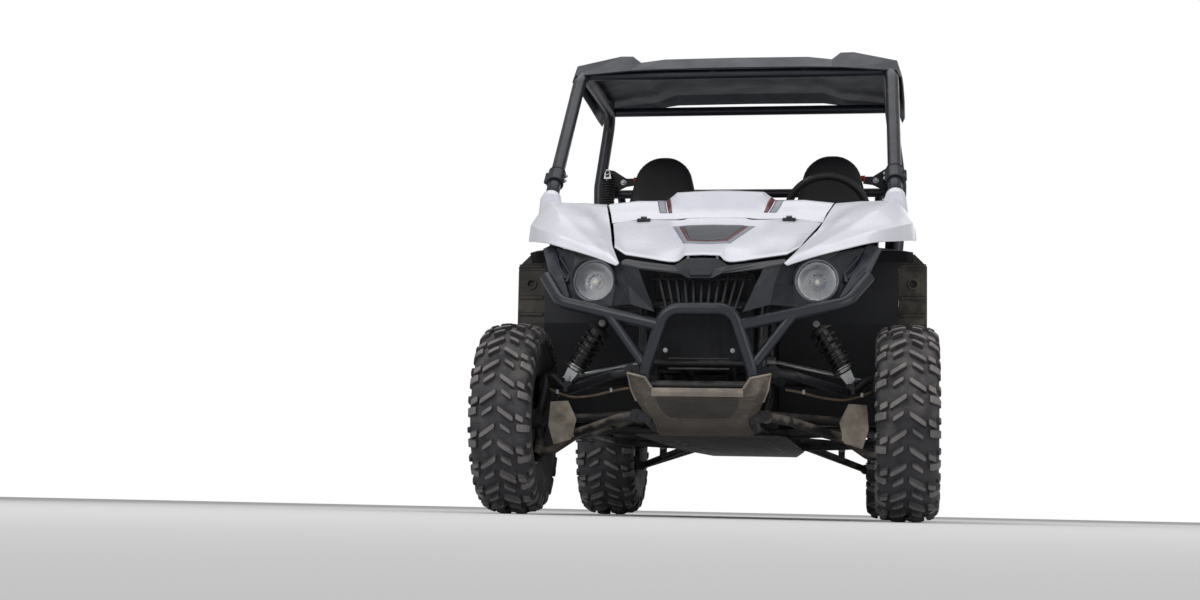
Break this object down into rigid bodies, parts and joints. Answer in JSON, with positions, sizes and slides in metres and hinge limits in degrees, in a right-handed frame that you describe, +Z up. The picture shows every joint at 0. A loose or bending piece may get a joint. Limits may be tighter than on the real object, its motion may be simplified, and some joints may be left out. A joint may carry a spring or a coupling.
{
  "type": "side by side utility vehicle",
  "caption": "Open two-seat off-road vehicle with a tube cage, hard roof, tipping hood, half doors, load bed and lugged tyres; wheels roll and steering, doors and hood move.",
  "frame": {"origin": "on the ground, midway along the vehicle's length and width", "axes": "+X the vehicle's left, -Y its front, +Z up"},
  "size_m": [1.5158, 2.895, 1.846],
  "materials": {
    "tyre": "dusty moulded rubber",
    "wheel": "black powder coat over cast alloy",
    "cast_hub": "dusty black paint",
    "arm_steel": "dusty satin black",
    "tube_steel": "satin blue black powder coat",
    "frame_steel": "dusty satin black",
    "spring_steel": "satin black with bare rod ends",
    "bright_steel": "plated, dusty",
    "alloy": "plain cast",
    "white_plastic": "semi-gloss white",
    "black_moulding": "grained dark grey",
    "roof_plastic": "matt dark blue grey",
    "skid_plastic": "dusty brown grey",
    "flare_plastic": "dusty dark",
    "guard_plastic": "dust over dark plastic",
    "floor_plastic": "black",
    "lamp_clear": "clear lens over bright reflector",
    "lamp_red": "red lens",
    "seat_vinyl": "black coated cloth",
    "grip": "black",
    "engine_alloy": "plain cast",
    "muffler_steel": "heat tinted"
  },
  "bodies": {
    "chassis": {"front_upper_arms": "arm_steel", "front_lower_arms": "arm_steel", "arm_guards": "guard_plastic", "front_shocks": "spring_steel", "rear_shocks": "spring_steel", "rack_housing": "alloy", "front_drive": "cast_hub", "rear_drive": "cast_hub", "lower_frame": "frame_steel", "sill_frame": "frame_steel", "front_frame": "frame_steel", "rear_frame": "frame_steel", "front_bumper": "tube_steel", "front_skid": "skid_plastic", "belly_skid": "floor_plastic", "cage_left": "tube_steel", "cage_right": "tube_steel", "cage_cross": "tube_steel", "roof": "roof_plastic", "cowl": "white_plastic", "front_fenders": "white_plastic", "front_fascia": "black_moulding", "grille": "black_moulding", "radiator": "alloy", "headlights": "lamp_clear", "mud_flares": "flare_plastic", "liners": "floor_plastic", "floor": "floor_plastic", "rockers": "floor_plastic", "dashboard": "black_moulding", "seat_riser": "floor_plastic", "seat_cushions": "seat_vinyl", "seat_backs": "seat_vinyl", "steering_column": "frame_steel", "rear_fenders": "white_plastic", "cargo_bed": "black_moulding", "tail_panel": "black_moulding", "tail_lights": "lamp_red", "rear_bumper": "tube_steel", "hitch": "frame_steel", "rear_arms": "arm_steel", "rear_carriers": "cast_hub", "engine": "engine_alloy", "exhaust": "muffler_steel"},
    "steering_wheel": {"steering_wheel": "grip"},
    "rack": {"tie_rods": "bright_steel"},
    "knuckle_left": {"knuckle_left": "cast_hub"},
    "knuckle_right": {"knuckle_right": "cast_hub"},
    "wheel_front_left": {"tyre_front_left": "tyre", "rim_front_left": "wheel"},
    "wheel_front_right": {"tyre_front_right": "tyre", "rim_front_right": "wheel"},
    "wheel_rear_left": {"tyre_rear_left": "tyre", "rim_rear_left": "wheel"},
    "wheel_rear_right": {"tyre_rear_right": "tyre", "rim_rear_right": "wheel"},
    "door_left": {"door_left": "white_plastic"},
    "door_right": {"door_right": "white_plastic"},
    "hood": {"hood": "white_plastic"}
  },
  "joints": [
    {"name": "steer_left", "type": "hinge", "parent": "chassis", "child": "knuckle_left", "pos_m": [0.5745, -1.0755, 0.235], "axis": [-0.0656, 0, 0.9978], "range_deg": [-28, 28]},
    {"name": "steer_right", "type": "hinge", "parent": "chassis", "child": "knuckle_right", "pos_m": [-0.5745, -1.0755, 0.235], "axis": [0.0656, 0, 0.9978], "range_deg": [-29, 29]},
    {"name": "steering_wheel_turn", "type": "hinge", "parent": "chassis", "child": "steering_wheel", "pos_m": [0.361, -0.0905, 1.192], "axis": [0, 0.8829, 0.4695], "range_deg": [-295, 295]},
    {"name": "rack_slide", "type": "slide", "parent": "chassis", "child": "rack", "axis": [1, 0, 0], "range_m": [-0.043, 0.043]},
    {"name": "roll_front_left", "type": "hinge", "parent": "knuckle_left", "child": "wheel_front_left", "pos_m": [0.6605, -1.0755, 0.325], "axis": [1, 0, 0], "continuous": true},
    {"name": "roll_front_right", "type": "hinge", "parent": "knuckle_right", "child": "wheel_front_right", "pos_m": [-0.6605, -1.0755, 0.325], "axis": [1, 0, 0], "continuous": true},
    {"name": "roll_rear_left", "type": "hinge", "parent": "chassis", "child": "wheel_rear_left", "pos_m": [0.635, 0.9895, 0.325], "axis": [1, 0, 0], "continuous": true},
    {"name": "roll_rear_right", "type": "hinge", "parent": "chassis", "child": "wheel_rear_right", "pos_m": [-0.635, 0.9895, 0.325], "axis": [1, 0, 0], "continuous": true},
    {"name": "door_left_swing", "type": "hinge", "parent": "chassis", "child": "door_left", "pos_m": [0.693, 0.3715, 0.7], "axis": [0, 0, 1], "range_deg": [0, 65]},
    {"name": "door_right_swing", "type": "hinge", "parent": "chassis", "child": "door_right", "pos_m": [-0.693, 0.3715, 0.7], "axis": [0, 0, -1], "range_deg": [0, 65]},
    {"name": "hood_tip", "type": "hinge", "parent": "chassis", "child": "hood", "pos_m": [0, -1.3275, 0.836], "axis": [1, 0, 0], "range_deg": [0, 45]}
  ],
  "couplings": [
    {"joint": "steer_right", "follows": "steer_left", "ratio": 1},
    {"joint": "steering_wheel_turn", "follows": "steer_left", "ratio": 10.36},
    {"joint": "rack_slide", "follows": "steer_left", "m_per_rad": -0.08646}
  ]
}
